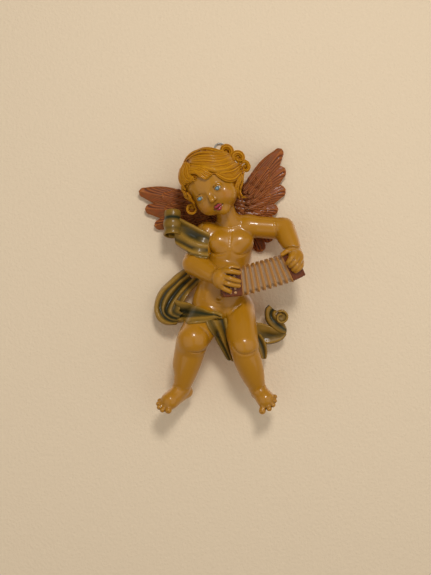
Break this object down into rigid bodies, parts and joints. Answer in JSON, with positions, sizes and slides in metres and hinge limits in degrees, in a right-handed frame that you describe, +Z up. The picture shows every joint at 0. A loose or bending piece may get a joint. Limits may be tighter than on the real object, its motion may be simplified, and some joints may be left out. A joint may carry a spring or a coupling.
{
  "type": "wall figurine",
  "caption": "Wall-hung resin cherub with feathered wings, draped sash and a small concertina held across its belly, hung by a swinging D-ring.",
  "frame": {"origin": "nail seat: the top of the hanging ring's inside, on the wall plane", "axes": "+Z up, +X towards the figure's own left, +Y into the wall, so the figure faces -Y"},
  "size_m": [0.1218, 0.0505, 0.2018],
  "materials": {
    "skin": "cast resin painted ochre with brown shading, high gloss lacquer",
    "hair": "cast resin painted golden yellow with brown in the grooves, high gloss lacquer",
    "eyes": "cast resin painted white with a light blue iris, high gloss lacquer",
    "wings": "cast resin painted red-brown and drybrushed tan, satin",
    "bellows": "cast resin painted grey-pink with tan ridges, satin",
    "box": "cast resin painted dark red-brown, gloss",
    "buttons": "cast resin painted ochre, gloss",
    "drape": "cast resin painted olive with a dark green wash in the folds, gloss",
    "steel": "zinc-plated steel, satin"
  },
  "bodies": {
    "figure": {"torso": "skin", "head": "skin", "arm_left": "skin", "arm_right": "skin", "leg_left": "skin", "leg_right": "skin", "hair": "hair", "eyes": "eyes", "wing_left": "wings", "wing_right": "wings", "bellows": "bellows", "treble_box": "box", "bass_box": "box", "treble_buttons": "buttons", "shoulder_scarf": "drape", "sash_loop": "drape", "lap_tail": "drape", "hip_scroll": "drape", "hanger_strap": "steel", "hanger_screw": "steel"},
    "ring": {"hanging_ring": "steel"}
  },
  "joints": [
    {"name": "ring_swing", "type": "hinge", "parent": "figure", "child": "ring", "pos_m": [0, -0.0016, -0.00685], "axis": [1, 0, 0], "range_deg": [-165, 130]}
  ]
}
